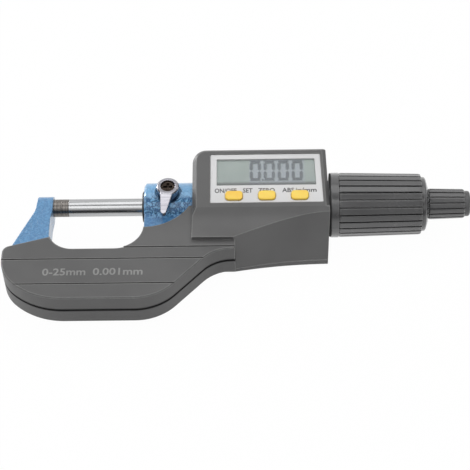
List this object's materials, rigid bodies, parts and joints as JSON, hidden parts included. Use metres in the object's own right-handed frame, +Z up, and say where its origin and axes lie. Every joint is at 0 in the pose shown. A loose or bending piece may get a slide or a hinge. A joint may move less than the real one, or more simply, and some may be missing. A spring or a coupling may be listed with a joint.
{
  "type": "digital outside micrometer",
  "caption": "Digital outside micrometer with a C frame, ratchet thimble, spindle lock and a sloping display housing, for external lengths up to an inch.",
  "frame": {"origin": "middle of the underside of the bounding box; the instrument lies on the back of its display housing", "axes": "+X along the spindle towards the ratchet, +Y from the frame towards the spindle side, +Z up, out of the side with the display"},
  "size_m": [0.1686, 0.0608, 0.0281],
  "materials": {
    "blue_casting": "blue hammer-finish enamel over cast iron",
    "grey_plastic": "fine textured moulded grey plastic",
    "white_plate": "satin white printed plate",
    "clear_window": "clear moulded window",
    "display_glass": "grey-green reflective display glass",
    "black_rubber": "moulded black rubber",
    "green_board": "green solder mask",
    "amber_film": "amber flexible circuit film",
    "yellow_button": "satin yellow moulded plastic",
    "ground_steel": "ground and lapped steel",
    "hard_tip": "lapped hard metal",
    "dark_bush": "blackened steel",
    "zinc_screw": "zinc plated steel",
    "bright_chrome": "bright chrome plate",
    "dark_screw": "blackened steel",
    "turned_steel": "fine turned steel",
    "turned_brass": "fine turned brass",
    "contact_brass": "bright sprung brass strip",
    "cell_steel": "bright nickel plate",
    "thimble_grey": "satin dark grey plastic",
    "cap_steel": "satin grey plastic"
  },
  "bodies": {
    "body": {"frame": "blue_casting", "anvil": "hard_tip", "anvil_tip": "hard_tip", "spindle_bush": "dark_bush", "frame_cover_front": "grey_plastic", "frame_cover_rear": "grey_plastic", "cover_screws": "zinc_screw", "housing_front": "grey_plastic", "housing_back": "grey_plastic", "housing_screws": "zinc_screw", "display_plate": "white_plate", "lcd_window": "clear_window", "lcd_panel": "display_glass", "lcd_contacts": "black_rubber", "circuit_board": "green_board", "keypad": "black_rubber", "battery_cell": "cell_steel", "battery_contact_plus": "contact_brass", "battery_contact_minus": "contact_brass", "encoder_stator": "green_board", "sensor_ribbon": "amber_film", "rotor_retainer": "turned_steel", "sleeve": "turned_steel", "thread_nut": "turned_brass", "adjusting_nut": "turned_brass", "lock_pin": "turned_steel"},
    "rotor": {"encoder_rotor": "green_board", "rotor_hub": "turned_brass", "rotor_key": "turned_steel"},
    "spindle": {"spindle": "ground_steel", "spindle_tip": "hard_tip", "thimble": "thimble_grey", "ratchet_base": "turned_steel", "ratchet_screw": "turned_steel", "ratchet_spring": "turned_steel"},
    "ratchet": {"ratchet_knob": "thimble_grey", "knob_cap": "cap_steel"},
    "ratchet_slider": {"ratchet_ring": "turned_steel"},
    "lock": {"lock_lever": "bright_chrome", "lock_screw": "dark_screw", "lock_stud": "turned_steel"},
    "power_button": {"button_power": "yellow_button"},
    "zero_button": {"button_zero": "yellow_button"},
    "mode_button": {"button_mode": "yellow_button"},
    "battery_door": {"battery_cap": "grey_plastic", "cap_seal": "black_rubber"}
  },
  "joints": [
    {"name": "thimble_turn", "type": "hinge", "parent": "body", "child": "rotor", "pos_m": [-0.0073, 0.01625, 0.0125], "axis": [1, 0, 0], "range_deg": [0, 18000]},
    {"name": "spindle_advance", "type": "slide", "parent": "rotor", "child": "spindle", "axis": [1, 0, 0], "range_m": [0, 0.025]},
    {"name": "ratchet_turn", "type": "hinge", "parent": "spindle", "child": "ratchet", "pos_m": [0.0691, 0.01625, 0.0125], "axis": [1, 0, 0], "continuous": true},
    {"name": "ratchet_click", "type": "slide", "parent": "ratchet", "child": "ratchet_slider", "axis": [1, 0, 0], "range_m": [0, 0.0005], "stiffness_N_per_m": 400, "springref_m": -0.002, "deforming": ["ratchet_spring"]},
    {"name": "lock_turn", "type": "hinge", "parent": "body", "child": "lock", "pos_m": [-0.0257, 0.01625, 0.0211], "axis": [0, 0, -1], "range_deg": [0, 60]},
    {"name": "power_press", "type": "slide", "parent": "body", "child": "power_button", "axis": [0, 0.2446, -0.9696], "range_m": [0, 0.0004], "stiffness_N_per_m": 900, "springref_m": -0.0005},
    {"name": "zero_press", "type": "slide", "parent": "body", "child": "zero_button", "axis": [0, 0.2446, -0.9696], "range_m": [0, 0.0004], "stiffness_N_per_m": 900, "springref_m": -0.0005},
    {"name": "mode_press", "type": "slide", "parent": "body", "child": "mode_button", "axis": [0, 0.2446, -0.9696], "range_m": [0, 0.0004], "stiffness_N_per_m": 900, "springref_m": -0.0005},
    {"name": "battery_door_turn", "type": "hinge", "parent": "body", "child": "battery_door", "pos_m": [-0.0013, 0.00505, 0], "axis": [0, 0, -1], "range_deg": [0, 45]}
  ],
  "couplings": [
    {"joint": "spindle_advance", "follows": "thimble_turn", "m_per_rad": 0.000079577}
  ]
}
